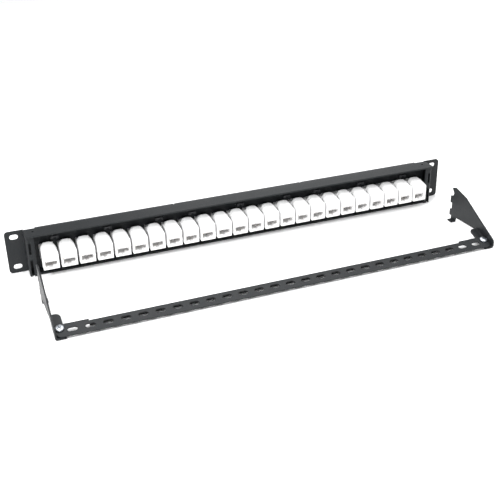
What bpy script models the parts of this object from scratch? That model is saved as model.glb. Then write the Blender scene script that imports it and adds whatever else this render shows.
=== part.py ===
"""Rack patch panel: 24 keystone feed-through modules and a lacing bar that hooks on behind.

Units are metres. X runs along the panel, Y from the front to the rear, and Z up. The origin is in the
middle of the base. Outlines on the panel are drawn by their depth behind the ears' rear face and their
height above the panel's centre line.
"""
import math

import bmesh
import bpy
from mathutils import Matrix, Vector

# Rack standard: a 19 inch panel, one unit high
PANEL_WIDTH = 0.4826
PANEL_HEIGHT = 0.0442
RACK_SLOT_SPACING_X = 0.4651
RACK_SLOT_SPACING_Z = 0.03175
RACK_SLOT_LENGTH = 0.0084
RACK_SLOT_WIDTH = 0.0055

# How far the object reaches in front of and behind the ears' rear face
FRONT_REACH = 0.0043
REAR_REACH = 0.1397
EAR_Y = (FRONT_REACH - REAR_REACH) / 2
CENTRE_Z = PANEL_HEIGHT / 2

# Sheet metal of the panel
FRONT_SHEET = 0.0020
SHELL_SHEET = 0.0015
EAR_CORNER = 0.0035
SHELL_HALF = 0.2235
TOP_DEPTH = 0.0180
BOTTOM_DEPTH = 0.0135
END_DEPTH = 0.0150
END_INNER = 0.2155
END_SLOT = (0.2193, 0.2216)
END_SLOT_HEIGHTS = (0.0018, 0.0134)
END_NOTCH_TOP = -0.0044
TOP_HOLE_X = 0.2150
TOP_HOLE_DEPTH = 0.0075
TOP_HOLE_RADIUS = 0.0012
JOIN = 0.0010
WELD = 0.000001

# Keystone modules
MODULES = 24
PITCH = 0.01768
NECK_HALF = 0.0065
NECK_TOP = 0.0044
NECK_BOTTOM = -0.0120
NECK_CORNER = 0.0010
NECK_FRONT = -0.0029
MODULE_REAR = 0.0255
LATCH_HALF = 0.0035
LATCH_TOP = 0.0054
LATCH_DEPTH = 0.0018
LEDGE_HALF = 0.0045
LEDGE_BOTTOM = -0.0134
LEDGE_DEPTH = 0.0022
SOCKET_HALF = 0.0058
SOCKET_TOP = -0.0026
SOCKET_BOTTOM = -0.0094
KEYWAY_HALF = 0.0020
KEYWAY_BOTTOM = -0.0108
CARRIER_HALF = 0.00545
CARRIER_DEPTHS = (0.0080, 0.0140)
COMB_DEPTHS = (0.0010, 0.0248)
COMB_BOTTOMS = (-0.0040, -0.0046)
GAP = 0.0003

# A module's cross-sections as (depth, half width, top, upper corner radius, bottom), from front to rear
MODULE_SECTIONS = (
    (NECK_FRONT, NECK_HALF, NECK_TOP, NECK_CORNER, NECK_BOTTOM),
    (0.0080, NECK_HALF, NECK_TOP, NECK_CORNER, NECK_BOTTOM),
    (0.0088, 0.0066, 0.0095, 0.0046, NECK_BOTTOM),
    (0.0102, 0.0068, 0.0098, 0.0048, -0.0121),
    (0.0175, 0.0077, 0.0087, 0.0046, -0.0123),
    (MODULE_REAR, 0.0077, 0.0064, 0.0030, -0.0123),
)

# Label holders on the front, eight modules each
PORTS_PER_HOLDER = 8
HOLDER_GAP = 0.0008
HOLDER_BOTTOM = 0.0089
HOLDER_TOP = 0.0213
HOLDER_SHEET = 0.0020
LABEL_MARGIN = 0.0022
LABEL_RECESS = 0.0011
LABEL_SHEET = 0.0006
CLIP_BOUNDARIES = (1, 4, 7)
CLIP_HALF = 0.0040
CLIP_HEIGHTS = (0.0078, 0.0108)
CLIP_GAP_HALF = 0.0015
CLIP_GAP_TOP = 0.0092
CLIP_DEPTHS = (0.0003, 0.0020)
SHANK_HALF = 0.0025
SHANK_HEIGHTS = (0.0091, 0.0106)

# Rear bar, as it stands on the floor behind the panel
BAR_TILT = math.radians(15)
BAR_DEPTH = 0.1322
BAR_HEIGHT = -0.0170
BAR_SHEET = 0.00135
BAR_GAP = 0.00028
STRIP_HALF = 0.2193
STRIP_FRONT = -0.0070
STRIP_END_FRONT = -0.0080
STRIP_REAR = 0.0070
STRIP_CORNER = 0.0045
STRIP_STEP = 0.1890
STRIP_SLOTS = 27
STRIP_SLOT_PITCH = 0.01575
STRIP_SLOT_LENGTH = 0.0090
STRIP_SLOT_WIDTH = 0.0046
STRIP_LIP = 0.0067
BRACKET_INNER = 0.2197
BRACKET_SHEET = 0.0015
FLANGE_INNER = 0.2112
FLANGE_FRONT = -0.0232
FLANGE_REAR = 0.0080
FOOT_INNER = 0.2155
FOOT_DEPTHS = (0.0637, 0.0710)
SCREW_X = 0.2155
SCREW_ALONG = -0.0028
SCREW_RADIUS = 0.00195
SCREW_HOLE_RADIUS = 0.0023
HEAD_RADIUS = 0.0040
HEAD_HEIGHT = 0.0021
SCREW_END = -0.0045

# The bracket's outline as (depth, height, corner radius), clockwise from the hook's tip
BRACKET_OUTLINE = (
    (0.0623, 0.0146, 0.0004),
    (0.0676, 0.0165, 0.0010),
    (0.0871, 0.0125, 0.0100),
    (0.1128, -0.0006, 0.0200),
    (0.1397, -0.0135, 0.0040),
    (0.1397, -0.0221, 0.0000),
    (0.1064, -0.0146, 0.0030),
    (0.0724, -0.0164, 0.0010),
    (0.0710, -0.0221, 0.0000),
    (0.0637, -0.0221, 0.0000),
    (0.0637, -0.0171, 0.0000),
    (0.0605, -0.0171, 0.0008),
    (0.0605, -0.0100, 0.0008),
    (0.0637, -0.0100, 0.0000),
    (0.0637, -0.0026, 0.0000),
    (0.0605, -0.0026, 0.0008),
    (0.0605, 0.0053, 0.0008),
    (0.0637, 0.0053, 0.0000),
    (0.0660, 0.0094, 0.0006),
)

# Turns of a flat outline: seen from the front, from the side, from above, and in the bar's sloping plane
FACING_FRONT = Matrix(((1, 0, 0), (0, 0, -1), (0, 1, 0))).to_4x4()
FACING_SIDE = Matrix(((0, 0, 1), (1, 0, 0), (0, 1, 0))).to_4x4()
FACING_UP = Matrix.Identity(4)
FACING_BAR = Matrix.Rotation(-BAR_TILT, 4, "X")


def place(x=0.0, depth=0.0, height=0.0):
    """Give the world place of a point on the panel."""
    return Vector((x, EAR_Y + depth, CENTRE_Z + height))


def on_bar(x=0.0, along=0.0, above=0.0):
    """Give the world place of a point measured in the sloping plane of the bar's top."""
    return place(0, BAR_DEPTH, BAR_HEIGHT) + FACING_BAR.to_3x3() @ Vector((x, along, above))


def material(name, colour, roughness, metallic):
    made = bpy.data.materials.new(name)
    made.use_nodes = True
    made.diffuse_color = (*colour, 1)
    shader = made.node_tree.nodes["Principled BSDF"]
    shader.inputs["Base Color"].default_value = (*colour, 1)
    shader.inputs["Roughness"].default_value = roughness
    shader.inputs["Metallic"].default_value = metallic
    return made


def arc(centre, radius, start, turn, steps):
    """List the points of an arc, both ends included."""
    angles = [start + turn * step / steps for step in range(steps + 1)]
    return [(centre[0] + radius * math.cos(a), centre[1] + radius * math.sin(a)) for a in angles]


def circle(x, y, radius, steps):
    return arc((x, y), radius, 0, 2 * math.pi, steps)[:-1]


def rounded(corners, steps=3):
    """Turn (x, y, radius) corners into an outline with an arc at each corner that has a radius."""
    outline = []
    for index, (x, y, radius) in enumerate(corners):
        if radius == 0:
            outline.append((x, y))
            continue
        corner = Vector((x, y))
        back = (Vector(corners[index - 1][:2]) - corner).normalized()
        ahead = (Vector(corners[(index + 1) % len(corners)][:2]) - corner).normalized()
        half_angle = back.angle(ahead) / 2
        reach = radius / math.tan(half_angle)
        centre = corner + (back + ahead).normalized() * radius / math.sin(half_angle)
        first = corner + back * reach - centre
        last = corner + ahead * reach - centre
        turn = math.atan2(first.x * last.y - first.y * last.x, first.dot(last))
        outline += arc(centre, radius, math.atan2(first.y, first.x), turn, steps)
    return outline


def rectangle(x0, x1, y0, y1):
    return [(x0, y0), (x1, y0), (x1, y1), (x0, y1)]


def obround(x, y, length, width, steps=5):
    """Outline a slot that runs along x."""
    reach = (length - width) / 2
    right = arc((x + reach, y), width / 2, -math.pi / 2, math.pi, steps)
    left = arc((x - reach, y), width / 2, math.pi / 2, math.pi, steps)
    return right + left


def weld_caps(mesh):
    welded = bmesh.new()
    welded.from_mesh(mesh)
    bmesh.ops.remove_doubles(welded, verts=welded.verts, dist=WELD)
    bmesh.ops.recalc_face_normals(welded, faces=welded.faces)
    welded.to_mesh(mesh)
    welded.free()


def to_mesh(source):
    """Replace an object by one that holds, as its own mesh, what the modifiers or the curve show."""
    name = source.name
    evaluated = source.evaluated_get(bpy.context.evaluated_depsgraph_get())
    mesh = bpy.data.meshes.new_from_object(evaluated)
    pose = source.matrix_world.copy()
    bpy.data.objects.remove(source)
    made = bpy.data.objects.new(name, mesh)
    made.matrix_world = pose
    return made


def sheet(name, outlines, thickness, facing, middle, collection):
    """Cut a flat piece: the first outline is its edge, and the others are its holes."""
    curve = bpy.data.curves.new(name, "CURVE")
    curve.dimensions = "2D"
    curve.fill_mode = "BOTH"
    curve.extrude = thickness / 2
    for outline in outlines:
        spline = curve.splines.new("POLY")
        spline.points.add(len(outline) - 1)
        for point, (x, y) in zip(spline.points, outline):
            point.co = (x, y, 0, 1)
        spline.use_cyclic_u = True
    drawn = bpy.data.objects.new(name, curve)
    bpy.context.scene.collection.objects.link(drawn)
    drawn.matrix_world = Matrix.Translation(middle) @ facing
    bpy.context.view_layer.update()
    made = to_mesh(drawn)
    weld_caps(made.data)
    collection.objects.link(made)
    return made


def box(name, low, high, collection):
    """Make a box between two opposite corners."""
    mesh = bpy.data.meshes.new(name)
    shape = bmesh.new()
    bmesh.ops.create_cube(shape, size=1)
    size = Vector(high) - Vector(low)
    bmesh.ops.scale(shape, vec=size, verts=shape.verts)
    shape.to_mesh(mesh)
    shape.free()
    made = bpy.data.objects.new(name, mesh)
    made.location = (Vector(low) + Vector(high)) / 2
    collection.objects.link(made)
    return made


def loft(name, sections, collection):
    """Skin a closed body through outlines at several depths, all with the same number of points."""
    mesh = bpy.data.meshes.new(name)
    shape = bmesh.new()
    loops = []
    for depth, outline in sections:
        ring = [shape.verts.new(place(x, depth, height)) for x, height in outline]
        loops.append([shape.edges.new((ring[index - 1], corner)) for index, corner in enumerate(ring)])
    for loop, following in zip(loops, loops[1:]):
        bmesh.ops.bridge_loops(shape, edges=loop + following)
    for end in (loops[0], loops[-1]):
        bmesh.ops.edgeloop_fill(shape, edges=end)
    bmesh.ops.recalc_face_normals(shape, faces=shape.faces)
    shape.to_mesh(mesh)
    shape.free()
    made = bpy.data.objects.new(name, mesh)
    collection.objects.link(made)
    return made


def combine(piece, tools, operation, solver="EXACT"):
    """Add or cut the tools, each with its own Boolean modifier."""
    for tool in tools:
        tool.hide_render = True
        tool.display_type = "WIRE"
        modifier = piece.modifiers.new(tool.name, "BOOLEAN")
        modifier.operation = operation
        modifier.object = tool
        modifier.solver = solver
    return piece


def finished(piece, finish):
    """Keep the result of a piece's modifiers as its own mesh, so that copies can share it."""
    bpy.context.view_layer.update()
    homes = list(piece.users_collection)
    made = to_mesh(piece)
    made.data.name = made.name
    made.data.materials.clear()
    made.data.materials.append(finish)
    for home in homes:
        home.objects.link(made)
    return made


def copies(first, names, spacing, collection):
    """Name a first piece and set copies that share its mesh at equal steps along X."""
    first.name = names[0]
    for step, name in enumerate(names[1:], start=1):
        other = bpy.data.objects.new(name, first.data)
        other.matrix_world = Matrix.Translation((step * spacing, 0, 0)) @ first.matrix_world
        collection.objects.link(other)


def module_x(index):
    return (index - (MODULES - 1) / 2) * PITCH


def boundary_x(index):
    return (index - MODULES / 2) * PITCH


def clip_places():
    holders = MODULES // PORTS_PER_HOLDER
    return [boundary_x(PORTS_PER_HOLDER * h + k) for h in range(holders) for k in CLIP_BOUNDARIES]


def section_outline(x, half, top, corner, bottom):
    """Outline a module's cross-section, with its two upper corners rounded."""
    return rounded(
        [(x - half, bottom, 0), (x + half, bottom, 0), (x + half, top, corner), (x - half, top, corner)]
    )


def opening_outline(x):
    """Outline the panel opening round a module's neck."""
    return section_outline(x, NECK_HALF + GAP, NECK_TOP + GAP, NECK_CORNER, NECK_BOTTOM - GAP)


def make_shell(parts, cutters, finish):
    """Fold the panel: front plate, top and bottom flanges, side walls and end flanges."""
    half_width = PANEL_WIDTH / 2
    edge = rectangle(-half_width, half_width, -CENTRE_Z, CENTRE_Z)
    outlines = [rounded([(x, y, EAR_CORNER) for x, y in edge], steps=5)]
    for side in (-1, 1):
        for level in (-1, 1):
            x = side * RACK_SLOT_SPACING_X / 2
            y = level * RACK_SLOT_SPACING_Z / 2
            outlines.append(obround(x, y, RACK_SLOT_LENGTH, RACK_SLOT_WIDTH))
    outlines += [opening_outline(module_x(index)) for index in range(MODULES)]
    shank_low, shank_high = SHANK_HEIGHTS
    shank_reach = SHANK_HALF + GAP
    for x in clip_places():
        outlines.append(rectangle(x - shank_reach, x + shank_reach, shank_low - GAP, shank_high + GAP))
    shell = sheet(
        "panel_shell", outlines, FRONT_SHEET, FACING_FRONT, place(0, -FRONT_SHEET / 2, 0), parts
    )

    top_outlines = [rectangle(-SHELL_HALF, SHELL_HALF, -JOIN, TOP_DEPTH)]
    for side in (-1, 1):
        top_outlines.append(circle(side * TOP_HOLE_X, TOP_HOLE_DEPTH, TOP_HOLE_RADIUS, 12))
    top_middle = place(0, 0, CENTRE_Z - SHELL_SHEET / 2)
    top = sheet("top_flange", top_outlines, SHELL_SHEET, FACING_UP, top_middle, cutters)
    bottom = box(
        "bottom_flange",
        place(-SHELL_HALF, -JOIN, -CENTRE_Z),
        place(SHELL_HALF, BOTTOM_DEPTH, -CENTRE_Z + SHELL_SHEET),
        cutters,
    )
    folds = [top, bottom]
    for side in (-1, 1):
        low_x, high_x = sorted((side * (SHELL_HALF - SHELL_SHEET), side * SHELL_HALF))
        wall_low = place(low_x, -JOIN, -CENTRE_Z)
        wall_high = place(high_x, END_DEPTH, CENTRE_Z)
        folds.append(box("side_wall", wall_low, wall_high, cutters))
        folds.append(make_end_flange(side, cutters))
    combine(shell, folds, "UNION", solver="MANIFOLD")
    return finished(shell, finish)


def make_end_flange(side, cutters):
    """Cut the inturned rear flange at one end, with the slot and the notch that hold the bar."""
    top = CENTRE_Z - SHELL_SHEET / 2
    low = -CENTRE_Z + 0.0001
    wall = SHELL_HALF - SHELL_SHEET / 2
    edge = [
        (END_INNER, low, 0),
        (END_SLOT[0], low, 0.0025),
        (END_SLOT[0], END_NOTCH_TOP, 0.0004),
        (wall, END_NOTCH_TOP, 0),
        (wall, top, 0),
        (END_INNER, top, 0),
    ]
    outline = [(side * x, y) for x, y in rounded(edge)]
    slot = [(side * x, y) for x, y in rectangle(*END_SLOT, *END_SLOT_HEIGHTS)]
    middle = place(0, END_DEPTH - SHELL_SHEET / 2, 0)
    return sheet("end_flange", [outline, slot], SHELL_SHEET, FACING_FRONT, middle, cutters)


def make_housings(parts, cutters, finish):
    """Mould the white module bodies: a neck through the panel that widens into a block behind it."""
    x = module_x(0)
    sections = [(depth, section_outline(x, *section)) for depth, *section in MODULE_SECTIONS]
    body = loft("jack_housing", sections, parts)
    latch = box(
        "latch",
        place(x - LATCH_HALF, GAP, NECK_TOP - JOIN),
        place(x + LATCH_HALF, LATCH_DEPTH, LATCH_TOP),
        cutters,
    )
    ledge = box(
        "ledge",
        place(x - LEDGE_HALF, GAP, LEDGE_BOTTOM),
        place(x + LEDGE_HALF, LEDGE_DEPTH, NECK_BOTTOM + JOIN),
        cutters,
    )
    combine(body, [latch, ledge], "UNION")
    socket = [
        (x - SOCKET_HALF, SOCKET_TOP),
        (x - SOCKET_HALF, SOCKET_BOTTOM),
        (x - KEYWAY_HALF, SOCKET_BOTTOM),
        (x - KEYWAY_HALF, KEYWAY_BOTTOM),
        (x + KEYWAY_HALF, KEYWAY_BOTTOM),
        (x + KEYWAY_HALF, SOCKET_BOTTOM),
        (x + SOCKET_HALF, SOCKET_BOTTOM),
        (x + SOCKET_HALF, SOCKET_TOP),
    ]
    tunnel_length = MODULE_REAR - NECK_FRONT + 2 * JOIN
    tunnel_middle = place(0, (MODULE_REAR + NECK_FRONT) / 2, 0)
    tunnel = sheet("socket_tunnel", [socket], tunnel_length, FACING_FRONT, tunnel_middle, cutters)
    combine(body, [tunnel], "DIFFERENCE")
    housing = finished(body, finish)
    copies(housing, [f"jack_housing_{index + 1:02d}" for index in range(MODULES)], PITCH, parts)


def make_inserts(parts, finish):
    """Make the contact carriers between the front and rear sockets."""
    comb_front, comb_rear = COMB_DEPTHS
    front_comb_bottom, rear_comb_bottom = COMB_BOTTOMS
    front, rear = CARRIER_DEPTHS
    top = SOCKET_TOP - GAP
    bottom = SOCKET_BOTTOM + GAP
    profile = [
        (comb_front, top),
        (comb_front, front_comb_bottom),
        (front, front_comb_bottom),
        (front, bottom),
        (rear, bottom),
        (rear, rear_comb_bottom),
        (comb_rear, rear_comb_bottom),
        (comb_rear, top),
    ]
    middle = place(module_x(0), 0, 0)
    drawn = sheet("contact_insert", [profile], 2 * CARRIER_HALF, FACING_SIDE, middle, parts)
    insert = finished(drawn, finish)
    copies(insert, [f"contact_insert_{index + 1:02d}" for index in range(MODULES)], PITCH, parts)


def make_label_holders(parts, cutters, holder_finish, label_finish):
    """Mould the label holders, each with three clips through the panel, and cut their label strips."""
    holders = MODULES // PORTS_PER_HOLDER
    width = PORTS_PER_HOLDER * PITCH
    middle_x = boundary_x(PORTS_PER_HOLDER / 2)
    half = (width - HOLDER_GAP) / 2
    front = -FRONT_REACH
    rear = front + HOLDER_SHEET
    holder_low = place(middle_x - half, front, HOLDER_BOTTOM)
    holder_high = place(middle_x + half, rear, HOLDER_TOP)
    holder = box("label_holder", holder_low, holder_high, parts)
    clip_low, clip_high = CLIP_HEIGHTS
    clip_outline = [
        (-CLIP_HALF, clip_low),
        (-CLIP_GAP_HALF, clip_low),
        (-CLIP_GAP_HALF, CLIP_GAP_TOP),
        (CLIP_GAP_HALF, CLIP_GAP_TOP),
        (CLIP_GAP_HALF, clip_low),
        (CLIP_HALF, clip_low),
        (CLIP_HALF, clip_high),
        (-CLIP_HALF, clip_high),
    ]
    clip_front, clip_rear = CLIP_DEPTHS
    tools = []
    for boundary in CLIP_BOUNDARIES:
        x = boundary_x(boundary)
        clip_middle = place(x, (clip_front + clip_rear) / 2, 0)
        clip_length = clip_rear - clip_front
        tools.append(sheet("clip", [clip_outline], clip_length, FACING_FRONT, clip_middle, cutters))
        tools.append(
            box(
                "clip_shank",
                place(x - SHANK_HALF, rear - JOIN / 2, SHANK_HEIGHTS[0]),
                place(x + SHANK_HALF, clip_rear - JOIN / 2, SHANK_HEIGHTS[1]),
                cutters,
            )
        )
    combine(holder, tools, "UNION")
    recess_half = half - LABEL_MARGIN
    recess_bottom = HOLDER_BOTTOM + LABEL_MARGIN
    recess_top = HOLDER_TOP - LABEL_MARGIN
    recess = box(
        "label_recess",
        place(middle_x - recess_half, front - JOIN, recess_bottom),
        place(middle_x + recess_half, front + LABEL_RECESS, recess_top),
        cutters,
    )
    combine(holder, [recess], "DIFFERENCE")
    holder = finished(holder, holder_finish)
    copies(holder, [f"label_holder_{index + 1}" for index in range(holders)], width, parts)

    label_rear = front + LABEL_RECESS - GAP
    label = box(
        "label_insert",
        place(middle_x - recess_half + GAP, label_rear - LABEL_SHEET, recess_bottom + GAP),
        place(middle_x + recess_half - GAP, label_rear, recess_top - GAP),
        parts,
    )
    label = finished(label, label_finish)
    copies(label, [f"label_insert_{index + 1}" for index in range(holders)], width, parts)


def make_strip(parts, cutters, finish):
    """Punch the lacing strip and bend a lip down along the middle of its front edge."""
    edge = [
        (-STRIP_HALF, STRIP_END_FRONT, STRIP_CORNER),
        (-STRIP_STEP, STRIP_END_FRONT, 0),
        (-STRIP_STEP, STRIP_FRONT, 0),
        (STRIP_STEP, STRIP_FRONT, 0),
        (STRIP_STEP, STRIP_END_FRONT, 0),
        (STRIP_HALF, STRIP_END_FRONT, STRIP_CORNER),
        (STRIP_HALF, STRIP_REAR, STRIP_CORNER),
        (-STRIP_HALF, STRIP_REAR, STRIP_CORNER),
    ]
    outlines = [rounded(edge, steps=5)]
    for index in range(STRIP_SLOTS):
        x = (index - (STRIP_SLOTS - 1) / 2) * STRIP_SLOT_PITCH
        outlines.append(obround(x, 0, STRIP_SLOT_LENGTH, STRIP_SLOT_WIDTH))
    for side in (-1, 1):
        outlines.append(circle(side * SCREW_X, SCREW_ALONG, SCREW_HOLE_RADIUS, 16))
    strip = sheet("lacing_strip", outlines, BAR_SHEET, FACING_UP, (0, 0, -BAR_SHEET / 2), parts)
    lip = box(
        "lip",
        (-STRIP_STEP, STRIP_FRONT, -STRIP_LIP),
        (STRIP_STEP, STRIP_FRONT + BAR_SHEET, -BAR_SHEET / 2),
        cutters,
    )
    combine(strip, [lip], "UNION", solver="MANIFOLD")
    made = finished(strip, finish)
    made.matrix_world = Matrix.Translation(on_bar()) @ FACING_BAR @ made.matrix_world
    return made


def make_bracket(name, side, parts, cutters, finish):
    """Cut one side arm and bend in its foot and the flange that carries the strip."""
    middle_x = side * (BRACKET_INNER + BRACKET_SHEET / 2)
    plate = sheet(
        name, [rounded(BRACKET_OUTLINE)], BRACKET_SHEET, FACING_SIDE, place(middle_x, 0, 0), parts
    )
    outer = BRACKET_INNER + BRACKET_SHEET / 2
    edge = [
        (outer, FLANGE_FRONT, 0),
        (outer, FLANGE_REAR, 0),
        (FLANGE_INNER, FLANGE_REAR, 0.0010),
        (FLANGE_INNER, FLANGE_FRONT, 0.0050),
    ]
    outline = [(side * x, y) for x, y in rounded(edge, steps=5)]
    hole = circle(side * SCREW_X, SCREW_ALONG, SCREW_HOLE_RADIUS, 16)
    flange_above = -(BAR_SHEET + BAR_GAP + BAR_SHEET / 2)
    flange = sheet("flange", [outline, hole], BAR_SHEET, FACING_BAR, on_bar(0, 0, flange_above), cutters)
    foot_x = sorted((side * FOOT_INNER, side * outer))
    foot = box(
        "foot",
        place(foot_x[0], FOOT_DEPTHS[0], -CENTRE_Z),
        place(foot_x[1], FOOT_DEPTHS[1], -CENTRE_Z + BRACKET_SHEET),
        cutters,
    )
    combine(plate, [flange, foot], "UNION")
    return finished(plate, finish)


def make_screw(name, side, parts, finish):
    """Turn a pan-head screw, standing square on the strip."""
    shoulder = 0.0002
    dome = [
        (HEAD_RADIUS * math.sin(a), HEAD_HEIGHT * (0.55 + 0.45 * math.cos(a)))
        for a in (math.radians(step * 22.5) for step in range(5))
    ]
    shank = [(SCREW_RADIUS, shoulder), (SCREW_RADIUS, SCREW_END), (0, SCREW_END)]
    profile = dome + [(HEAD_RADIUS, shoulder)] + shank
    mesh = bpy.data.meshes.new(name)
    mesh.from_pydata([(x, 0, z) for x, z in profile], [(i, i + 1) for i in range(len(profile) - 1)], [])
    screw = bpy.data.objects.new(name, mesh)
    parts.objects.link(screw)
    turn = screw.modifiers.new("turn", "SCREW")
    turn.steps = 20
    turn.render_steps = 20
    turn.use_merge_vertices = True
    turn.merge_threshold = 0.00001
    screw.matrix_world = Matrix.Translation(on_bar(side * SCREW_X, SCREW_ALONG, 0)) @ FACING_BAR
    made = finished(screw, finish)
    made.data.shade_smooth()
    made.data.set_sharp_from_angle(angle=math.radians(40))
    return made


def main():
    for old in list(bpy.data.objects):
        bpy.data.objects.remove(old)
    parts = bpy.data.collections.new("patch_panel")
    cutters = bpy.data.collections.new("cutters")
    bpy.context.scene.collection.children.link(parts)
    bpy.context.scene.collection.children.link(cutters)

    powder_coat = material("black_powder_coat", (0.030, 0.032, 0.035), 0.45, 0.0)
    white_plastic = material("white_plastic", (0.86, 0.85, 0.82), 0.40, 0.0)
    contact_brown = material("contact_carrier", (0.30, 0.24, 0.18), 0.50, 0.0)
    black_plastic = material("black_plastic", (0.020, 0.020, 0.022), 0.40, 0.0)
    label_card = material("label_card", (0.90, 0.90, 0.88), 0.60, 0.0)
    zinc = material("zinc_plated_steel", (0.72, 0.74, 0.76), 0.25, 1.0)

    make_shell(parts, cutters, powder_coat)
    make_housings(parts, cutters, white_plastic)
    make_inserts(parts, contact_brown)
    make_label_holders(parts, cutters, black_plastic, label_card)

    bar = bpy.data.objects.new("rear_bar", None)
    bar.location = place(0, FOOT_DEPTHS[0], 0)
    parts.objects.link(bar)
    moving = [make_strip(parts, cutters, powder_coat)]
    for name, side in (("left", -1), ("right", 1)):
        moving.append(make_bracket(f"bracket_{name}", side, parts, cutters, powder_coat))
        moving.append(make_screw(f"bar_screw_{name}", side, parts, zinc))
    bpy.context.view_layer.update()
    for piece in moving:
        piece.parent = bar
        piece.matrix_parent_inverse = bar.matrix_world.inverted()


main()
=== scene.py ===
"""Looks of the rack patch panel: moulded modules, folded and powder-coated sheet, studio and camera.

Metres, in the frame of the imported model: X along the panel, Y from its front to its rear, Z up. Outlines are
drawn by their depth behind the ears' rear face and their height above the panel's centre line.
"""

import math

import bmesh
import bpy
from mathutils import Matrix, Vector


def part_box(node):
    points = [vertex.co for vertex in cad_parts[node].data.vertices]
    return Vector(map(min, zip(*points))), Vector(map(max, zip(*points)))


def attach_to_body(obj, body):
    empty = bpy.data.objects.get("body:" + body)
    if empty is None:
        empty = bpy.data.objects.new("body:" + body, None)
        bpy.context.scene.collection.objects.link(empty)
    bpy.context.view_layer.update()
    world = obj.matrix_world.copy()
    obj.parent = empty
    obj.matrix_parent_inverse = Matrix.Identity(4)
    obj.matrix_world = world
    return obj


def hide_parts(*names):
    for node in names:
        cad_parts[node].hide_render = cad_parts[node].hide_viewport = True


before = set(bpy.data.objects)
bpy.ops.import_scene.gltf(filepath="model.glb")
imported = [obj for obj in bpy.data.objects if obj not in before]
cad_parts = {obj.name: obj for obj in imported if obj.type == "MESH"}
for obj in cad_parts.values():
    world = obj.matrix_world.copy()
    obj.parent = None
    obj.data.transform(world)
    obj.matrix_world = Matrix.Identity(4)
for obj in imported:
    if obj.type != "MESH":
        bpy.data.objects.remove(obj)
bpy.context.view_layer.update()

# Panel
FRONT_SHEET = 0.0020
SHELL_SHEET = 0.0015
EAR_CORNER = 0.0035
SHELL_HALF = 0.2235
TOP_DEPTH = 0.0180
BOTTOM_DEPTH = 0.0135
END_DEPTH = 0.0150
END_INNER = 0.2155
END_SLOT = (0.2193, 0.2216)  # inner and outer x
END_SLOT_HEIGHTS = (0.0018, 0.0134)
END_NOTCH_TOP = -0.0044
TOP_HOLE = (0.2150, 0.0075, 0.0012)  # x, depth, radius
RACK_SLOT_SPACING = (0.4651, 0.03175)  # across, up
RACK_SLOT = (0.0084, 0.0055)  # length, width
OUTER_BEND = 0.0022
INNER_BEND = 0.0007
SHEET_EDGE = 0.00022

# Modules
MODULES = 24
PITCH = 0.01768
NECK_HALF = 0.0065
NECK_TOP = 0.0044
NECK_BOTTOM = -0.0120
NECK_CORNER = 0.0010
NECK_FRONT = -0.0029
MODULE_HALF = 0.0077
MODULE_BOTTOM = -0.0123
MODULE_REAR = 0.0255
SOCKET_HALF = 0.0058
SOCKET_TOP = -0.0026
SOCKET_BOTTOM = -0.0094
KEYWAY_HALF = 0.0020
KEYWAY_BOTTOM = -0.0108
CONTACTS = 8
CONTACT_PITCH = 0.00102
CARRIER_WIDTH = 0.0109
CARRIER_CHEEK = 0.0043  # from the middle to where the plain white sides begin
COMBS = (-0.0040, -0.0046)  # undersides of the front and the rear comb
SPRING_RADIUS = 0.00021
RIB_ANGLES = (12, 36, 60)
RIB_RADIUS = 0.00050
RIB_START = 0.0092
RIB_STEP = 0.0012
GAP = 0.0003

# A module's cross-sections as (depth, half width, top, upper corner radius, bottom), from front to rear
HUMP_DEPTH = 0.0095
MODULE_SECTIONS = (
    (NECK_FRONT, NECK_HALF, NECK_TOP, NECK_CORNER, NECK_BOTTOM),
    (0.0080, NECK_HALF, NECK_TOP, NECK_CORNER, NECK_BOTTOM),
    (HUMP_DEPTH, 0.0059, 0.0098, 0.0043, NECK_BOTTOM),
    (0.0175, MODULE_HALF, 0.0087, 0.0046, MODULE_BOTTOM),
    (MODULE_REAR, MODULE_HALF, 0.0064, 0.0030, MODULE_BOTTOM),
)
MODULE_EDGE = 0.0004

# Label holders
PORTS_PER_HOLDER = 8
CLIP_BOUNDARIES = (1, 4, 7)
CLIP_OPENING = (0.0028, 0.0088, 0.0109)  # half width, bottom, top
HOLDER_SHEET = 0.0020
HOLDER_BOTTOM = 0.0089

# Rear bar
BAR_TILT = math.radians(15)
BAR_DEPTH = 0.1322
BAR_HEIGHT = -0.0170
BAR_SHEET = 0.00135
BAR_GAP = 0.00028
BRACKET_INNER = 0.2197
BRACKET_SHEET = 0.0015
STRIP_SLOTS = 27
STRIP_SLOT_PITCH = 0.01575
STRIP_SLOT = (0.0090, 0.0046)  # length, width
LIP_HEIGHT = 0.0067
SCREW_X = 0.2155
SCREW_ALONG = -0.0028
SCREW_HOLE = 0.0023
THREAD_CREST = 0.00195
THREAD_ROOT = 0.00170
THREAD_PITCH = 0.00045
THREADS = 8

EAR_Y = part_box("panel_shell")[0].y + FRONT_SHEET
CENTRE_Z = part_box("panel_shell")[1].z / 2
EAR_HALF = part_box("panel_shell")[1].x

FACING_FRONT = Matrix(((1, 0, 0), (0, 0, -1), (0, 1, 0))).to_4x4()
FACING_SIDE = Matrix(((0, 0, 1), (1, 0, 0), (0, 1, 0))).to_4x4()
FACING_UP = Matrix.Identity(4)
FACING_BAR = Matrix.Rotation(-BAR_TILT, 4, "X")


def place(x=0.0, depth=0.0, height=0.0):
    return Vector((x, EAR_Y + depth, CENTRE_Z + height))


def on_bar(x=0.0, along=0.0, above=0.0):
    return place(0, BAR_DEPTH, BAR_HEIGHT) + FACING_BAR.to_3x3() @ Vector((x, along, above))


def module_x(index):
    return (index - (MODULES - 1) / 2) * PITCH


def boundary_x(index):
    return (index - MODULES / 2) * PITCH


# Outlines


def arc(centre, radius, start, turn, steps):
    angles = [start + turn * step / steps for step in range(steps + 1)]
    return [(centre[0] + radius * math.cos(a), centre[1] + radius * math.sin(a)) for a in angles]


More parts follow.
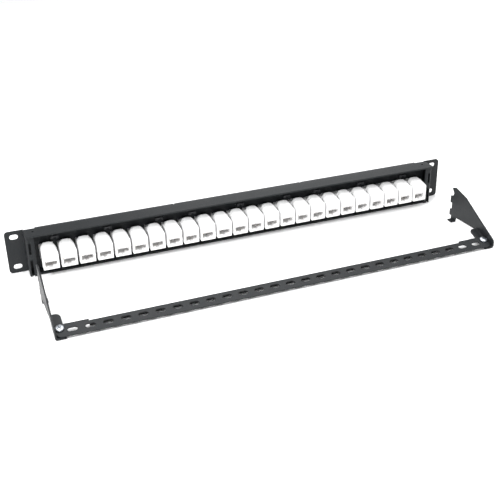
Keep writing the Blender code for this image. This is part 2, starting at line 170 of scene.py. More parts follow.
def circle(x, y, radius, steps=24):
    return arc((x, y), radius, 0, 2 * math.pi, steps)[:-1]


def rounded(corners, steps=6):
    """Turn (x, y, radius) corners into an outline with an arc at each corner that has a radius."""
    outline = []
    for index, (x, y, radius) in enumerate(corners):
        if radius == 0:
            outline.append((x, y))
            continue
        corner = Vector((x, y))
        back = (Vector(corners[index - 1][:2]) - corner).normalized()
        ahead = (Vector(corners[(index + 1) % len(corners)][:2]) - corner).normalized()
        half_angle = back.angle(ahead) / 2
        centre = corner + (back + ahead).normalized() * radius / math.sin(half_angle)
        first = corner + back * radius / math.tan(half_angle) - centre
        last = corner + ahead * radius / math.tan(half_angle) - centre
        turn = math.atan2(first.x * last.y - first.y * last.x, first.dot(last))
        outline += arc(centre, radius, math.atan2(first.y, first.x), turn, steps)
    return outline


def rectangle(x0, x1, y0, y1, radius=0.0):
    return rounded([(x0, y0, radius), (x1, y0, radius), (x1, y1, radius), (x0, y1, radius)], 5)


def obround(x, y, length, width, steps=12):
    reach = (length - width) / 2
    right = arc((x + reach, y), width / 2, -math.pi / 2, math.pi, steps)
    return right + arc((x - reach, y), width / 2, math.pi / 2, math.pi, steps)


def mirrored(outline, side):
    return [(side * x, y) for x, y in outline]


# Making pieces


def shown(source):
    """Replace an object by an unturned one whose mesh is what the modifiers or the curve show."""
    bpy.context.view_layer.update()
    name = source.name
    mesh = bpy.data.meshes.new_from_object(source.evaluated_get(bpy.context.evaluated_depsgraph_get()))
    mesh.transform(source.matrix_world)
    bpy.data.objects.remove(source)
    return linked(name, mesh)


def linked(name, data):
    made = bpy.data.objects.new(name, data)
    bpy.context.scene.collection.objects.link(made)
    return made


def sheet(name, outlines, thickness, facing, middle, edge=0.0):
    """Cut a flat piece with softened edges: the first outline is its rim, and those inside it are holes."""
    curve = bpy.data.curves.new(name, "CURVE")
    curve.dimensions = "2D"
    curve.fill_mode = "BOTH"
    curve.extrude = thickness / 2 - edge
    if edge:
        curve.bevel_depth = edge
        curve.bevel_resolution = 1
        curve.offset = -edge
    for outline in outlines:
        spline = curve.splines.new("POLY")
        spline.points.add(len(outline) - 1)
        for point, (x, y) in zip(spline.points, outline):
            point.co = (x, y, 0, 1)
        spline.use_cyclic_u = True
    drawn = linked(name, curve)
    drawn.matrix_world = Matrix.Translation(middle) @ facing
    made = shown(drawn)
    welded = bmesh.new()
    welded.from_mesh(made.data)
    bmesh.ops.remove_doubles(welded, verts=welded.verts, dist=0.000001)
    bmesh.ops.recalc_face_normals(welded, faces=welded.faces)
    welded.to_mesh(made.data)
    welded.free()
    return made


def block(name, low, high, edge=0.0):
    """Make a box between two corners, with softened edges."""
    mesh = bpy.data.meshes.new(name)
    shape = bmesh.new()
    bmesh.ops.create_cube(shape, size=1)
    bmesh.ops.scale(shape, vec=Vector(high) - Vector(low), verts=shape.verts)
    bmesh.ops.translate(shape, vec=(Vector(low) + Vector(high)) / 2, verts=shape.verts)
    if edge:
        bmesh.ops.bevel(shape, geom=shape.edges[:], offset=edge, segments=2, profile=0.5, affect="EDGES")
    shape.to_mesh(mesh)
    shape.free()
    return linked(name, mesh)


def loft(name, sections):
    """Skin a closed body through outlines at several depths, all with the same number of points."""
    mesh = bpy.data.meshes.new(name)
    shape = bmesh.new()
    loops = []
    for depth, outline in sections:
        ring = [shape.verts.new(place(x, depth, height)) for x, height in outline]
        loops.append([shape.edges.new((ring[index - 1], corner)) for index, corner in enumerate(ring)])
    for loop, following in zip(loops, loops[1:]):
        bmesh.ops.bridge_loops(shape, edges=loop + following)
    for end in (loops[0], loops[-1]):
        bmesh.ops.edgeloop_fill(shape, edges=end)
    bmesh.ops.recalc_face_normals(shape, faces=shape.faces)
    shape.to_mesh(mesh)
    shape.free()
    return linked(name, mesh)


def combine(piece, tools, operation):
    """Join or cut with the tools, which are used up."""
    for tool in tools:
        modifier = piece.modifiers.new(tool.name, "BOOLEAN")
        modifier.operation = operation
        modifier.object = tool
        modifier.solver = "MANIFOLD"
    made = shown(piece)
    for tool in tools:
        bpy.data.objects.remove(tool)
    return made


def shade(piece, angle=21):
    """Shade curved faces smooth and keep flat ones flat."""
    piece.data.shade_smooth()
    piece.data.set_sharp_from_angle(angle=math.radians(angle))
    return piece


def dress(piece, finish, body, slot, *nodes):
    """Give a piece its material, set it on its body and let it stand for its CAD nodes."""
    piece.data.materials.clear()
    piece.data.materials.append(finish)
    attach(piece, body, slot, *nodes)


def attach(piece, body, slot, *nodes):
    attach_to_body(piece, body)
    if nodes:
        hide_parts(*nodes)


# Materials


class Finish:
    """A Principled material with helpers that add its texture."""

    def __init__(self, name, colour, roughness, metallic=0.0):
        self.material = bpy.data.materials.new(name)
        self.material.use_nodes = True
        self.nodes = self.material.node_tree.nodes
        self.links = self.material.node_tree.links
        self.shader = self.nodes["Principled BSDF"]
        self.colour = colour
        self.put("Base Color", (*colour, 1))
        self.put("Roughness", roughness)
        self.put("Metallic", metallic)
        self.coordinates = self.nodes.new("ShaderNodeTexCoord")
        self.height = None

    def put(self, socket, value):
        self.shader.inputs[socket].default_value = value

    def noise(self, scale, detail=4.0, stretch=(1, 1, 1)):
        mapping = self.nodes.new("ShaderNodeMapping")
        mapping.inputs["Scale"].default_value = stretch
        texture = self.nodes.new("ShaderNodeTexNoise")
        texture.inputs["Scale"].default_value = scale
        texture.inputs["Detail"].default_value = detail
        self.links.new(self.coordinates.outputs["Object"], mapping.inputs["Vector"])
        self.links.new(mapping.outputs["Vector"], texture.inputs["Vector"])
        return texture.outputs["Fac"]

    def spread(self, value, low, high, start=0.35, end=0.65):
        """Map a texture's middle range to a range of numbers."""
        node = self.nodes.new("ShaderNodeMapRange")
        node.inputs["From Min"].default_value = start
        node.inputs["From Max"].default_value = end
        node.inputs["To Min"].default_value = low
        node.inputs["To Max"].default_value = high
        self.links.new(value, node.inputs["Value"])
        return node.outputs["Result"]

    def tint(self, mask, colour):
        """Lay a second colour over the first where the mask is 1."""
        mix = self.nodes.new("ShaderNodeMix")
        mix.data_type = "RGBA"
        base = self.shader.inputs["Base Color"]
        if base.is_linked:
            self.links.new(base.links[0].from_socket, mix.inputs["A"])
        else:
            mix.inputs["A"].default_value = (*self.colour, 1)
        mix.inputs["B"].default_value = (*colour, 1)
        self.links.new(mask, mix.inputs["Factor"])
        self.links.new(mix.outputs["Result"], base)

    def roughen(self, value):
        self.links.new(value, self.shader.inputs["Roughness"])

    def bump(self, value, distance, strength=1.0):
        """Raise the surface by a texture, on top of any bump that it already has."""
        node = self.nodes.new("ShaderNodeBump")
        node.inputs["Distance"].default_value = distance
        node.inputs["Strength"].default_value = strength
        self.links.new(value, node.inputs["Height"])
        if self.height:
            self.links.new(self.height, node.inputs["Normal"])
        self.height = node.outputs["Normal"]
        self.links.new(self.height, self.shader.inputs["Normal"])


def powder_coat():
    coat = Finish("powder_coat", (0.0102, 0.0120, 0.0134), 0.40)
    coat.put("Specular IOR Level", 0.20)
    grain = coat.noise(1400, 3)
    coat.tint(coat.spread(coat.noise(60, 4), 0.0, 0.6), (0.0150, 0.0158, 0.0170))
    coat.tint(coat.spread(grain, 0.0, 0.5, 0.5, 0.75), (0.026, 0.027, 0.029))
    coat.roughen(coat.spread(grain, 0.34, 0.50))
    coat.bump(grain, 0.00006)
    coat.bump(coat.noise(320, 2), 0.00005)
    return coat.material


def white_plastic():
    plastic = Finish("white_plastic", (0.66, 0.65, 0.635), 0.34)
    plastic.put("Subsurface Weight", 0.12)
    plastic.put("Subsurface Radius", (0.0012, 0.0010, 0.0008))
    plastic.put("Subsurface Scale", 1.0)
    plastic.tint(plastic.spread(plastic.noise(90, 3), 0.0, 0.5), (0.62, 0.61, 0.595))
    fine = plastic.noise(2200, 3)
    plastic.roughen(plastic.spread(fine, 0.28, 0.42))
    plastic.bump(fine, 0.00002)
    return plastic.material


def black_plastic():
    plastic = Finish("black_plastic", (0.030, 0.031, 0.034), 0.34)
    plastic.tint(plastic.spread(plastic.noise(120, 3), 0.0, 0.6), (0.042, 0.043, 0.047))
    fine = plastic.noise(1800, 3)
    plastic.roughen(plastic.spread(fine, 0.30, 0.48))
    plastic.bump(fine, 0.00003)
    return plastic.material


def carrier_plastic():
    plastic = Finish("carrier_plastic", (0.30, 0.215, 0.155), 0.5)
    plastic.tint(plastic.spread(plastic.noise(500, 3), 0.0, 0.6), (0.22, 0.155, 0.110))
    plastic.bump(plastic.noise(2400, 2), 0.00002)
    return plastic.material


def gold():
    metal = Finish("gold_plate", (0.83, 0.60, 0.27), 0.26, 1.0)
    wiped = metal.noise(700, 3, (1, 0.15, 1))
    metal.roughen(metal.spread(wiped, 0.18, 0.36))
    metal.tint(metal.spread(wiped, 0.0, 0.5), (0.74, 0.52, 0.22))
    return metal.material


def zinc():
    metal = Finish("zinc_plate", (0.37, 0.39, 0.41), 0.30, 1.0)
    drawn = metal.noise(900, 4, (1, 0.2, 1))
    metal.roughen(metal.spread(drawn, 0.24, 0.40))
    metal.tint(metal.spread(metal.noise(300, 2), 0.0, 0.5), (0.34, 0.36, 0.40))
    metal.bump(drawn, 0.00001)
    return metal.material


def card():
    paper = Finish("label_card", (0.86, 0.86, 0.84), 0.62)
    fibres = paper.noise(1600, 6, (0.3, 1, 1))
    paper.tint(paper.spread(fibres, 0.0, 0.5), (0.80, 0.80, 0.78))
    paper.bump(fibres, 0.00002)
    return paper.material


POWDER_COAT = powder_coat()
WHITE_PLASTIC = white_plastic()
BLACK_PLASTIC = black_plastic()
CARRIER_PLASTIC = carrier_plastic()
GOLD = gold()
ZINC = zinc()
CARD = card()


# Panel


def section_outline(x, half, top, corner, bottom):
    """Outline a module's cross-section, with its two upper corners well rounded."""
    foot = 0.0004
    left = x - half
    right = x + half
    return rounded([(left, bottom, foot), (right, bottom, foot), (right, top, corner), (left, top, corner)])


def opening_outline(x):
    """Outline the panel opening round a module's neck."""
    return section_outline(x, NECK_HALF + GAP, NECK_TOP + GAP, NECK_CORNER, NECK_BOTTOM - GAP)


def clip_places():
    holders = MODULES // PORTS_PER_HOLDER
    return [boundary_x(PORTS_PER_HOLDER * h + k) for h in range(holders) for k in CLIP_BOUNDARIES]


def make_shell():
    """Fold the panel from sheet: a channel with bends, two ears, and an inturned fold at each end."""
    channel = rounded(
        [
            (TOP_DEPTH, CENTRE_Z, 0),
            (-FRONT_SHEET, CENTRE_Z, OUTER_BEND),
            (-FRONT_SHEET, -CENTRE_Z, OUTER_BEND),
            (BOTTOM_DEPTH, -CENTRE_Z, 0),
            (BOTTOM_DEPTH, SHELL_SHEET - CENTRE_Z, 0),
            (0, SHELL_SHEET - CENTRE_Z, INNER_BEND),
            (0, CENTRE_Z - SHELL_SHEET, INNER_BEND),
            (TOP_DEPTH, CENTRE_Z - SHELL_SHEET, 0),
        ]
    )
    shell = sheet("shell", [channel], 2 * SHELL_HALF, FACING_SIDE, place(), SHEET_EDGE)
    joined = []
    for side in (-1, 1):
        joined += [make_ear(side), make_end_fold(side)]
    shell = combine(shell, joined, "UNION")
    shell = combine(shell, shell_cutters(), "DIFFERENCE")
    dress(shade(shell), POWDER_COAT, "panel", "black_powder_coat", "panel_shell")


def make_ear(side):
    inner = SHELL_HALF - 0.0008
    rim = rounded(
        [
            (inner, -CENTRE_Z, 0),
            (EAR_HALF, -CENTRE_Z, EAR_CORNER),
            (EAR_HALF, CENTRE_Z, EAR_CORNER),
            (inner, CENTRE_Z, 0),
        ],
        8,
    )
    outlines = [mirrored(rim, side)]
    for level in (-1, 1):
        centre = (side * RACK_SLOT_SPACING[0] / 2, level * RACK_SLOT_SPACING[1] / 2)
        outlines.append(obround(*centre, *RACK_SLOT))
    return sheet("ear", outlines, FRONT_SHEET, FACING_FRONT, place(0, -FRONT_SHEET / 2, 0), SHEET_EDGE)


def make_end_fold(side):
    """Fold one side wall and its inturned rear flange, standing on the bottom flange."""
    inner_wall = SHELL_HALF - SHELL_SHEET
    start = -0.0010
    fold = rounded(
        [
            (SHELL_HALF, start, 0),
            (SHELL_HALF, END_DEPTH, OUTER_BEND),
            (END_INNER, END_DEPTH, 0.0004),
            (END_INNER, END_DEPTH - SHELL_SHEET, 0.0004),
            (inner_wall, END_DEPTH - SHELL_SHEET, INNER_BEND),
            (inner_wall, start, 0),
        ]
    )
    height = 2 * CENTRE_Z - SHELL_SHEET
    middle = place(0, 0, -SHELL_SHEET / 2)
    return sheet("end_fold", [mirrored(fold, side)], height, FACING_UP, middle, SHEET_EDGE)


def shell_cutters():
    """Make what cuts the module and clip openings, the slots and notches for the bar, and the top holes."""
    corner = 0.0004
    through_panel = 0.006
    through_flange = 0.004
    clip_half, clip_bottom, clip_top = CLIP_OPENING
    openings = [opening_outline(module_x(index)) for index in range(MODULES)]
    for x in clip_places():
        openings.append(rectangle(x - clip_half, x + clip_half, clip_bottom, clip_top, corner))
    cutters = [sheet("openings", openings, through_panel, FACING_FRONT, place(0, -FRONT_SHEET / 2, 0))]
    slot = rectangle(*END_SLOT, *END_SLOT_HEIGHTS, corner)
    notch_inner = END_SLOT[0]
    notch_outer = notch_inner + 0.0026
    step_inner = notch_inner - 0.0030
    step_top = 0.0002 - CENTRE_Z
    below = -CENTRE_Z - 0.001
    notch = rounded(
        [
            (notch_inner, END_NOTCH_TOP, corner),
            (notch_outer, END_NOTCH_TOP, 0),
            (notch_outer, below, 0),
            (step_inner, below, 0),
            (step_inner, step_top, 0),
            (notch_inner, step_top, 0),
        ]
    )
    flange_middle = place(0, END_DEPTH - SHELL_SHEET / 2, 0)
    for side in (-1, 1):
        cuts = [mirrored(slot, side), mirrored(notch, side)]
        cutters.append(sheet("bar_slots", cuts, through_flange, FACING_FRONT, flange_middle))
    hole_x, hole_depth, hole_radius = TOP_HOLE
    holes = [circle(side * hole_x, hole_depth, hole_radius) for side in (-1, 1)]
    cutters.append(sheet("top_holes", holes, through_panel, FACING_UP, place(0, 0, CENTRE_Z)))
    return cutters


# Modules


def module_sections(x):
    """Blend the module's cross-sections and round its front and rear edges."""
    part_way = 0.3 * MODULE_EDGE
    front = [(NECK_FRONT, MODULE_EDGE), (NECK_FRONT + part_way, part_way)]
    rear = [(MODULE_REAR - part_way, part_way), (MODULE_REAR, MODULE_EDGE)]
    middle = [(NECK_FRONT + MODULE_EDGE, 0.0)]
    steps = 8
    for (start, *_), (end, *_) in zip(MODULE_SECTIONS[1:], MODULE_SECTIONS[2:]):
        middle += [(start + (end - start) * step / steps, 0.0) for step in range(steps)]
    middle.append((MODULE_REAR - MODULE_EDGE, 0.0))
    sections = []
    for depth, inset in front + middle + rear:
        half, top, corner, bottom = section_at(depth)
        outline = section_outline(x, half - inset, top - inset, corner - inset / 2, bottom + inset)
        sections.append((depth, outline))
    return sections


def section_at(depth):
    """Blend the cross-sections on either side of a depth, easing up onto the hump."""
    for (start, *before), (end, *after) in zip(MODULE_SECTIONS, MODULE_SECTIONS[1:]):
        if depth <= end:
            break
    share = (depth - start) / (end - start)
    if end == HUMP_DEPTH:
        share = share * share * (3 - 2 * share)
    return [low + (high - low) * share for low, high in zip(before, after)]


def make_housing():
    """Mould one module's body, at the first module's place."""
    x = module_x(0)
    housing = loft("housing", module_sections(x))
    sunk = 0.001
    latch_half, latch_rear, latch_top = 0.0035, 0.0018, 0.0054
    latch_low = place(x - latch_half, GAP, NECK_TOP - sunk)
    latch = block("latch", latch_low, place(x + latch_half, latch_rear, latch_top), 0.0002)
    ledge_half, ledge_rear, ledge_bottom = 0.0045, 0.0022, -0.0134
    ledge_low = place(x - ledge_half, GAP, ledge_bottom)
    ledge = block("ledge", ledge_low, place(x + ledge_half, ledge_rear, NECK_BOTTOM + sunk), 0.0003)
    housing = combine(housing, [latch, ledge], "UNION")
    housing = combine(housing, housing_cutters(x), "DIFFERENCE")
    add_ribs(housing, x)
    return housing


def add_ribs(housing, x):
    """Add finger ribs along the shoulders, sunk halfway into them."""
    shape = bmesh.new()
    shape.from_mesh(housing.data)
    for side in (-1, 1):
        for angle in (math.radians(degrees) for degrees in RIB_ANGLES):
            route = []
            for step in range(7):
                depth = RIB_START + step * RIB_STEP
                half, top, corner, _ = section_at(depth)
                across = half - corner + corner * math.cos(angle)
                route.append(place(x + side * across, depth, top - corner + corner * math.sin(angle)))
            add_wire(shape, route, RIB_RADIUS, 0)
    shape.to_mesh(housing.data)
    shape.free()


def socket_outline(x, margin):
    """Outline a socket with its keyway, widened all round by the margin."""
    half = SOCKET_HALF + margin
    key = KEYWAY_HALF + margin
    top = SOCKET_TOP + margin
    floor_level = SOCKET_BOTTOM - margin
    corners = [
        (x - half, top),
        (x - half, floor_level),
        (x - key, floor_level),
        (x - key, KEYWAY_BOTTOM - margin),
        (x + key, KEYWAY_BOTTOM - margin),
        (x + key, floor_level),
        (x + half, floor_level),
        (x + half, top),
    ]
    return rounded([(cx, cy, 0.0002) for cx, cy in corners], 2)


def housing_cutters(x):
    """Make what cuts the socket right through, its chamfered rims, and a groove down each side."""
    length = MODULE_REAR - NECK_FRONT
    middle = place(0, (MODULE_REAR + NECK_FRONT) / 2, 0)
    tunnel = sheet("tunnel", [socket_outline(x, 0)], length + 0.002, FACING_FRONT, middle)
    rear_rim = sheet("rear_rim", [socket_outline(x, 0.0005)], 0.0009, FACING_FRONT, place(0, MODULE_REAR, 0))
    front_rim = sheet("front_rim", [socket_outline(x, 0.0004)], 0.0008, FACING_FRONT, place(0, NECK_FRONT, 0))
    cutters = [tunnel, rear_rim, front_rim]
    groove = 0.00025
    for side in (-1, 1):
        wall = x + side * MODULE_HALF
        low = place(wall - groove, 0.0186, -0.0140)
        cutters.append(block("groove", low, place(wall + groove, 0.0190, 0.0030)))
    return cutters


def make_contacts():
    """Make the contact carrier and the sixteen sprung wires in it, at the first module's place."""
    x = module_x(0)
    top = SOCKET_TOP - GAP
    bottom = SOCKET_BOTTOM + GAP
    front_comb, rear_comb = COMBS
    profile = [
        (0.0010, top),
        (0.0010, front_comb),
        (0.0080, front_comb),
        (0.0080, bottom),
        (0.0140, bottom),
        (0.0140, rear_comb),
        (0.0248, rear_comb),
        (0.0248, top),
    ]
    carrier = sheet("carrier", [profile], CARRIER_WIDTH, FACING_SIDE, place(x, 0, 0), 0.00015)
    contact_places = [x + (index - (CONTACTS - 1) / 2) * CONTACT_PITCH for index in range(CONTACTS)]
    slots = []
    slot_half = 0.0003
    for slot_x in contact_places:
        for front, rear, comb in ((0.0005, 0.0079, front_comb), (0.0141, 0.0253, rear_comb)):
            low = place(slot_x - slot_half, front, comb - 0.0004)
            slots.append(block("comb_slot", low, place(slot_x + slot_half, rear, comb + 0.0006)))
    carrier = combine(carrier, slots, "DIFFERENCE")
    carrier.data.materials.append(CARRIER_PLASTIC)
    carrier.data.materials.append(GOLD)
    carrier.data.materials.append(WHITE_PLASTIC)
    shape = bmesh.new()
    shape.from_mesh(carrier.data)
    for face in shape.faces:
        if abs(face.calc_center_median().x - x) > CARRIER_CHEEK:
            face.material_index = 2
    rear = [(0.0244, -0.0043), (0.0235, -0.0042), (0.0180, -0.0068), (0.0146, -0.0073), (0.0138, -0.0073)]
    front = [(0.0015, -0.0037), (0.0024, -0.0036), (0.0062, -0.0064), (0.0074, -0.0069), (0.0082, -0.0069)]
    for spring_x in contact_places:
        for route in (rear, front):
            points = [place(spring_x, depth, height) for depth, height in route]
            add_wire(shape, points, SPRING_RADIUS, 1)
    shape.to_mesh(carrier.data)
    shape.free()
    return carrier


def add_wire(shape, route, radius, material_index, sides=6):
    """Sweep a round wire along a route and give it one of the mesh's materials."""
    rings = []
    for index, point in enumerate(route):
        before = route[max(index - 1, 0)]
        after = route[min(index + 1, len(route) - 1)]
        forward = (after - before).normalized()
        across = Vector((0, 0, 1)) if abs(forward.z) < 0.5 else Vector((1, 0, 0))
        across = (across - forward * across.dot(forward)).normalized()
        other = forward.cross(across)
        ring = []
        for side in range(sides):
            angle = 2 * math.pi * side / sides
            outward = across * math.cos(angle) + other * math.sin(angle)
            ring.append(shape.verts.new(point + outward * radius))
        rings.append(ring)
    for ring, following in zip(rings, rings[1:]):
        for side in range(sides):
            corners = (ring[side], ring[(side + 1) % sides], following[(side + 1) % sides], following[side])
            face = shape.faces.new(corners)
            face.material_index = material_index
            face.smooth = True
    for cap in (reversed(rings[0]), rings[-1]):
        shape.faces.new(list(cap)).material_index = material_index


def make_modules():
    housing = make_housing()
    shade(housing)
    housing.data.materials.append(WHITE_PLASTIC)
    contacts = make_contacts()
    for index in range(MODULES):
        shift = Matrix.Translation((index * PITCH, 0, 0))
        number = f"{index + 1:02d}"
        body = copy_of(housing, f"module_{number}", shift)
        attach(body, "panel", "white_plastic", f"jack_housing_{number}")
        wires = copy_of(contacts, f"contacts_{number}", shift)
        attach(wires, "panel", "contact_carrier", f"contact_insert_{number}")
    bpy.data.objects.remove(housing)
    bpy.data.objects.remove(contacts)


def copy_of(source, name, shift):
    """Set out another object with the same mesh."""
    made = source.copy()
    made.name = name
    made.matrix_world = shift @ source.matrix_world
    bpy.context.scene.collection.objects.link(made)
    return made


# Labels


def make_label_holders():
    """Make the three strips with their clips and windows, and the card behind each window."""
    width = PORTS_PER_HOLDER * PITCH
    for number in range(1, MODULES // PORTS_PER_HOLDER + 1):
        low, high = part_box(f"label_holder_{number}")
        front = low.y - EAR_Y
        centre_x = (low.x + high.x) / 2
        half = (high.x - low.x) / 2
        middle = place(centre_x, front + HOLDER_SHEET / 2, 0)
        rim = rectangle(-half, half, HOLDER_BOTTOM, high.z - CENTRE_Z, 0.0006)
        holder = sheet(f"holder_{number}", [rim], HOLDER_SHEET, FACING_FRONT, middle, 0.0003)
        tools = []
        for boundary in CLIP_BOUNDARIES:
            x = centre_x - width / 2 + boundary * PITCH
            tools += make_clip(x, front)
        holder = combine(holder, tools, "UNION")
        card_low, card_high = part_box(f"label_insert_{number}")
        window = block(
            "window",
            (card_low.x - GAP, low.y - 0.001, card_low.z - GAP),
            (card_high.x + GAP, card_high.y + GAP, card_high.z + GAP),
        )
        holder = combine(holder, [window], "DIFFERENCE")
        dress(shade(holder), BLACK_PLASTIC, "panel", "black_plastic", f"label_holder_{number}")
        strip = block(f"label_{number}", card_low, card_high, 0.0001)
        dress(strip, CARD, "panel", "label_card", f"label_insert_{number}")


def make_clip(x, front):
    """Make one n-shaped clip behind the panel and the shank that carries it."""
    legs = rounded(
        [
            (-0.0040, 0.0078, 0.0004),
            (-0.0015, 0.0078, 0.0004),
            (-0.0015, 0.0092, 0.0003),
            (0.0015, 0.0092, 0.0003),
            (0.0015, 0.0078, 0.0004),
            (0.0040, 0.0078, 0.0004),
            (0.0040, 0.0108, 0.0006),
            (-0.0040, 0.0108, 0.0006),
        ],
        3,
    )
    clip = sheet("clip", [legs], 0.0017, FACING_FRONT, place(x, 0.00115, 0), 0.0002)
    shank_half = 0.0025
    shank_low = place(x - shank_half, front + 0.0015, 0.0091)
    shank = block("shank", shank_low, place(x + shank_half, 0.0015, 0.0106), 0.0002)
    return [clip, shank]


# Rear bar


def make_strip():
    """Punch the lacing strip and fold its lip."""
    half, front, end_front, rear, corner = 0.2193, -0.0070, -0.0080, 0.0070, 0.0045
    step = 0.1890
    fold_start = front + 0.0024
    rim = rounded(
        [
            (-half, end_front, corner),
            (-step, end_front, 0.0004),
            (-step, fold_start, 0.0004),
            (step, fold_start, 0.0004),
            (step, end_front, 0.0004),
            (half, end_front, corner),
            (half, rear, corner),
            (-half, rear, corner),
        ]
    )
    outlines = [rim]
    for index in range(STRIP_SLOTS):
        outlines.append(obround((index - (STRIP_SLOTS - 1) / 2) * STRIP_SLOT_PITCH, 0, *STRIP_SLOT))
    for side in (-1, 1):
        outlines.append(circle(side * SCREW_X, SCREW_ALONG, SCREW_HOLE))
    strip = sheet("strip", outlines, BAR_SHEET, FACING_UP, (0, 0, -BAR_SHEET / 2), SHEET_EDGE)
    lap = fold_start + 0.0008
    lip = rounded(
        [
            (lap, 0, 0),
            (front, 0, 0.0018),
            (front, -LIP_HEIGHT, 0.0003),
            (front + BAR_SHEET, -LIP_HEIGHT, 0.0003),
            (front + BAR_SHEET, -BAR_SHEET, 0.0006),
            (lap, -BAR_SHEET, 0),
        ]
    )
    fold = sheet("lip", [lip], 2 * step - 0.0006, FACING_SIDE, (0, 0, 0), SHEET_EDGE)
    strip = combine(strip, [fold], "UNION")
    strip.data.transform(Matrix.Translation(on_bar()) @ FACING_BAR)
    dress(shade(strip), POWDER_COAT, "rear_bar", "black_powder_coat", "lacing_strip")


def make_bracket(name, side):
    """Cut one side arm and fold in its foot and the flange under the strip."""
    outline = rounded(
        [
            (0.0623, 0.0146, 0.0004),
            (0.0676, 0.0165, 0.0010),
            (0.0871, 0.0125, 0.0100),
            (0.1128, -0.0006, 0.0200),
            (0.1397, -0.0135, 0.0040),
            (0.1397, -0.0195, 0.0000),
            (0.1100, -0.0117, 0.0000),
            (0.1064, -0.0146, 0.0010),
            (0.0724, -0.0164, 0.0010),
            (0.0710, -0.0221, 0.0000),
            (0.0637, -0.0221, 0.0000),
            (0.0637, -0.0171, 0.0000),
            (0.0605, -0.0171, 0.0008),
            (0.0605, -0.0100, 0.0008),
            (0.0637, -0.0100, 0.0000),
            (0.0637, -0.0026, 0.0000),
            (0.0605, -0.0026, 0.0008),
            (0.0605, 0.0053, 0.0008),
            (0.0637, 0.0053, 0.0000),
            (0.0660, 0.0094, 0.0006),
        ]
    )
    middle_x = side * (BRACKET_INNER + BRACKET_SHEET / 2)
    arm = sheet(name, [outline], BRACKET_SHEET, FACING_SIDE, place(middle_x, 0, 0), SHEET_EDGE)
    outer = BRACKET_INNER + BRACKET_SHEET
    bottom = -(2 * BAR_SHEET + BAR_GAP)
    front, rear, inner = -0.0232, 0.0077, 0.2112
    tongue = rounded(
        [(outer - 0.0020, front, 0), (outer - 0.0020, rear, 0), (inner, rear, 0.0010), (inner, front, 0.0050)]
    )
    hole = circle(side * SCREW_X, SCREW_ALONG, SCREW_HOLE)
    flange_middle = on_bar(0, 0, bottom + BAR_SHEET / 2)
    flange = sheet("flange", [mirrored(tongue, side), hole], BAR_SHEET, FACING_BAR, flange_middle, SHEET_EDGE)
    lap = outer - 0.0030
    bend_top = 0.0004
    bend = rounded(
        [
            (lap, bottom, 0),
            (outer, bottom, OUTER_BEND),
            (outer, bend_top, 0),
            (BRACKET_INNER, bend_top, 0),
            (BRACKET_INNER, bottom + BAR_SHEET, INNER_BEND),
            (lap, bottom + BAR_SHEET, 0),
        ]
    )
    facing = FACING_BAR @ FACING_FRONT
    bend_middle = on_bar(0, (front + rear) / 2, 0)
    fold = sheet("fold", [mirrored(bend, side)], rear - front, facing, bend_middle, SHEET_EDGE)
    foot_x = sorted((side * 0.2155, side * (outer - 0.0004)))
    foot_low = place(foot_x[0], 0.0637, -CENTRE_Z)
    foot = block("foot", foot_low, place(foot_x[1], 0.0710, BRACKET_SHEET - CENTRE_Z), 0.0003)
    arm = combine(arm, [flange, fold, foot], "UNION")
    dress(shade(arm), POWDER_COAT, "rear_bar", "black_powder_coat", name)


def make_screw(name, side):
    """Turn a pan-head screw with a cross recess."""
    steps = 10
    radius = 0.0040
    shoulder, rise = 0.00115, 0.00095
    underside = 0.0002
    tip, tip_radius = -0.0045, 0.0014
    profile = []
    for angle in (math.pi / 2 * step / steps for step in range(steps + 1)):
        profile.append((radius * math.sin(angle), shoulder + rise * math.cos(angle)))
    profile += [(radius, 0.0004), (radius - 0.0002, underside), (THREAD_CREST, underside)]
    for thread in range(THREADS):
        level = -0.0006 - thread * THREAD_PITCH
        profile += [(THREAD_CREST, level), (THREAD_ROOT, level - 0.00022)]
    profile += [(tip_radius, tip), (0, tip)]
    mesh = bpy.data.meshes.new(name)
    mesh.from_pydata([(x, 0, z) for x, z in profile], [(i, i + 1) for i in range(len(profile) - 1)], [])
    screw = linked(name, mesh)
    turn = screw.modifiers.new("turn", "SCREW")
    turn.steps = 48
    turn.render_steps = 48
    turn.use_merge_vertices = True
    turn.merge_threshold = 0.00001
    screw = shown(screw)
    arm, width, floor_level = 0.0021, 0.00045, 0.0009
    cross = [block("recess", (-arm, -width, floor_level), (arm, width, 0.003))]
    cross.append(block("recess", (-width, -arm, floor_level), (width, arm, 0.003)))
    screw = combine(screw, cross, "DIFFERENCE")
    spin = Matrix.Rotation(math.radians(28 * side), 4, "Z")
    screw.data.transform(Matrix.Translation(on_bar(side * SCREW_X, SCREW_ALONG, 0)) @ FACING_BAR @ spin)
    dress(shade(screw, 40), ZINC, "rear_bar", "zinc_plated_steel", name)


# Studio


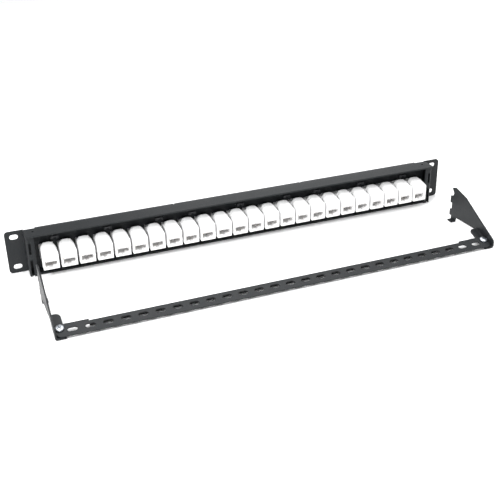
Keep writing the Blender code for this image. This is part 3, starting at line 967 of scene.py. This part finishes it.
def make_floor():
    made = Finish("studio_floor", (0.93, 0.93, 0.93), 0.7)
    made.tint(made.spread(made.noise(3, 3), 0.0, 0.5), (0.92, 0.92, 0.92))
    made.put("Specular IOR Level", 0.1)
    mesh = bpy.data.meshes.new("floor")
    shape = bmesh.new()
    bmesh.ops.create_grid(shape, x_segments=1, y_segments=1, size=6)
    shape.to_mesh(mesh)
    shape.free()
    floor = linked("floor", mesh)
    floor.location.z = -0.0002
    floor.data.materials.append(made.material)


def make_light(name, location, size, power):
    """Hang a round softbox that faces the object's middle."""
    data = bpy.data.lights.new(name, "AREA")
    data.shape = "DISK"
    data.size = size
    data.energy = power
    lamp = linked(name, data)
    lamp.location = location
    lamp.rotation_mode = "QUATERNION"
    lamp.rotation_quaternion = (-Vector(location)).to_track_quat("-Z", "Y")


def make_studio():
    make_floor()
    make_light("overhead", (-0.20, -0.20, 1.6), 2.0, 36)
    make_light("rear_softbox", (-0.55, -1.15, 0.58), 0.9, 1.6)
    make_light("key", (0.90, 0.70, 1.05), 0.4, 20)
    make_light("fill", (0.25, 1.05, 0.22), 0.3, 4.5)
    world = bpy.data.worlds.new("studio")
    bpy.context.scene.world = world
    world.use_nodes = True
    background = world.node_tree.nodes["Background"]
    background.inputs["Color"].default_value = (0.98, 0.99, 1.0, 1)
    background.inputs["Strength"].default_value = 0.45
    bpy.context.scene.view_settings.view_transform = "Standard"


def make_camera():
    """Stand the camera behind the panel, above it and to one side, rolled by about a degree."""
    data = bpy.data.cameras.new("camera")
    data.sensor_width = 36
    data.lens = 61.64
    data.clip_start = 0.01
    made = linked("camera", data)
    forward = Vector((-0.3157, -0.8323, -0.4557)).normalized()
    right = forward.cross(Vector((0, 0, 1))).normalized()
    pose = Matrix((right, right.cross(forward), -forward)).transposed()
    roll = Matrix.Rotation(math.radians(-1.19), 3, "Z")
    made.matrix_world = Matrix.Translation(place(0.2829, 0.7730, 0.3763)) @ (pose @ roll).to_4x4()
    bpy.context.scene.camera = made


make_camera()
make_studio()
make_shell()
make_modules()
make_label_holders()
make_strip()
for bracket, screw, side in (("bracket_left", "bar_screw_left", -1), ("bracket_right", "bar_screw_right", 1)):
    make_bracket(bracket, side)
    make_screw(screw, side)

bpy.context.view_layer.update()
